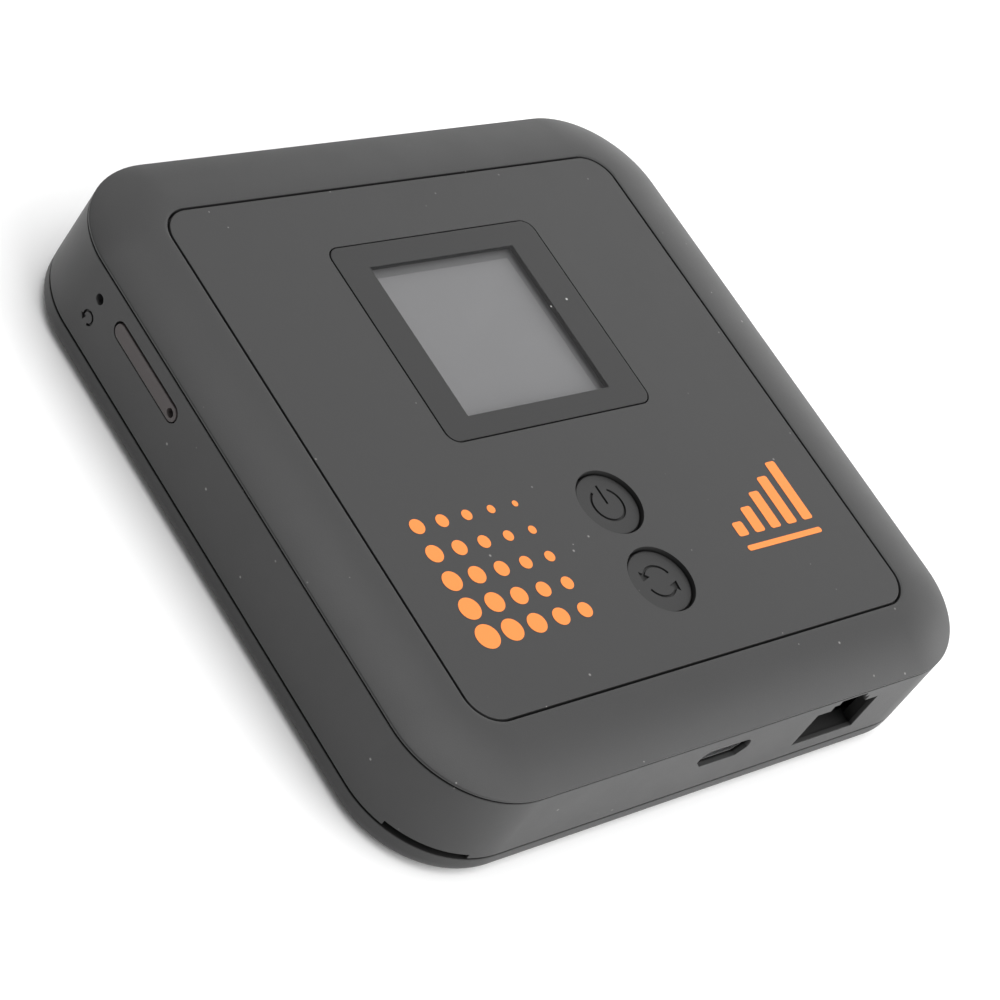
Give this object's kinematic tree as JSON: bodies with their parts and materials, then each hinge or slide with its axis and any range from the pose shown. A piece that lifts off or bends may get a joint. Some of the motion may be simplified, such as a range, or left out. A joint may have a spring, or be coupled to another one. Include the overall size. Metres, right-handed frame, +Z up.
{
  "type": "mobile hotspot",
  "caption": "Square pocket wireless router with a domed bezel, small display, push buttons, slide-out SIM tray, and network and USB sockets.",
  "frame": {"origin": "centre of the flat underside", "axes": "+Z up through the display, -Y the side with the network and USB sockets, -X the side with the SIM tray and reset hole"},
  "size_m": [0.0982, 0.0982, 0.0181],
  "materials": {
    "soft_touch_shell": "soft-touch charcoal plastic with a fine spark-eroded grain",
    "front_panel_plastic": "flat satin charcoal plastic with orange printed marks",
    "adhesive_film": "black foam adhesive",
    "clear_lens": "clear acrylic, polished",
    "printed_black": "black ink printed behind the lens",
    "lcd_moulding": "grey moulded display frame",
    "lcd_surface": "unlit display surface, neutral grey",
    "diffuser_white": "white light guide",
    "flex_amber": "amber polyimide flexible circuit",
    "black_moulding": "black glass-filled nylon",
    "button_plastic": "satin charcoal button with an engraved symbol",
    "switch_white": "white acetal",
    "switch_steel": "stamped steel",
    "circuit_board": "green solder mask",
    "tinned_can": "tinned sheet steel",
    "chip_epoxy": "black epoxy",
    "jack_plastic": "black moulded thermoplastic",
    "gold_plate": "gold-plated bronze spring",
    "usb_steel": "nickel-plated steel",
    "tray_plastic": "brownish grey matte plastic",
    "sim_plastic": "white card",
    "battery_wrap": "silver-grey film wrap",
    "screw_steel": "black zinc-plated steel"
  },
  "bodies": {
    "housing": {"front_bezel": "soft_touch_shell", "side_frame": "soft_touch_shell", "back_cover": "soft_touch_shell", "front_panel": "front_panel_plastic", "panel_adhesive": "adhesive_film", "display_lens": "clear_lens", "lens_border": "printed_black", "lcd_frame": "lcd_moulding", "lcd_glass": "lcd_surface", "lcd_backlight": "diffuser_white", "lcd_flex": "flex_amber", "display_bracket": "black_moulding", "power_switch": "switch_steel", "pairing_switch": "switch_steel", "button_board": "circuit_board", "board_connector": "black_moulding", "main_board": "circuit_board", "processor_shield": "tinned_can", "modem_shield": "tinned_can", "processor_chip": "chip_epoxy", "memory_chip": "chip_epoxy", "modem_chip": "chip_epoxy", "ethernet_transformer": "chip_epoxy", "ethernet_jack_housing": "jack_plastic", "ethernet_jack_shield": "tinned_can", "ethernet_contact_1": "gold_plate", "ethernet_contact_2": "gold_plate", "ethernet_contact_3": "gold_plate", "ethernet_contact_4": "gold_plate", "ethernet_contact_5": "gold_plate", "ethernet_contact_6": "gold_plate", "ethernet_contact_7": "gold_plate", "ethernet_contact_8": "gold_plate", "usb_shell": "usb_steel", "usb_tongue": "jack_plastic", "sim_socket_base": "black_moulding", "sim_socket_cover": "tinned_can", "reset_switch": "black_moulding", "battery_pack": "battery_wrap", "battery_terminal": "black_moulding", "battery_spring_1": "gold_plate", "battery_spring_2": "gold_plate", "battery_spring_3": "gold_plate", "main_antenna": "flex_amber", "wifi_antenna": "flex_amber", "case_screw_1": "screw_steel", "case_screw_2": "screw_steel", "case_screw_3": "screw_steel", "case_screw_4": "screw_steel"},
    "power_key": {"power_button": "button_plastic", "power_switch_stem": "switch_white"},
    "pairing_key": {"pairing_button": "button_plastic", "pairing_switch_stem": "switch_white"},
    "sim_carrier": {"sim_tray": "tray_plastic", "sim_card": "sim_plastic"},
    "eject_rod": {"sim_ejector_rod": "usb_steel"},
    "eject_lever": {"sim_ejector_lever": "usb_steel"},
    "reset_key": {"reset_plunger": "switch_white"}
  },
  "joints": [
    {"name": "power_button_press", "type": "slide", "parent": "housing", "child": "power_key", "axis": [0, 0, -1], "range_m": [0, 0.0003], "stiffness_N_per_m": 6000, "springref_m": -0.0001},
    {"name": "pairing_button_press", "type": "slide", "parent": "housing", "child": "pairing_key", "axis": [0, 0, -1], "range_m": [0, 0.0003], "stiffness_N_per_m": 6000, "springref_m": -0.0001},
    {"name": "reset_plunger_press", "type": "slide", "parent": "housing", "child": "reset_key", "axis": [1, 0, 0], "range_m": [0, 0.00025], "stiffness_N_per_m": 4000, "springref_m": -0.0001},
    {"name": "sim_tray_slide", "type": "slide", "parent": "housing", "child": "sim_carrier", "axis": [-1, 0, 0], "range_m": [0, 0.02]},
    {"name": "sim_ejector_push", "type": "slide", "parent": "housing", "child": "eject_rod", "axis": [1, 0, 0], "range_m": [0, 0.001]},
    {"name": "sim_ejector_lever_turn", "type": "hinge", "parent": "housing", "child": "eject_lever", "pos_m": [-0.03077, 0.018, 0.01145], "axis": [0, 0, 1], "range_deg": [0, 15.7]}
  ],
  "couplings": [
    {"joint": "sim_ejector_lever_turn", "follows": "sim_ejector_push", "rad_per_m": 273.97}
  ]
}
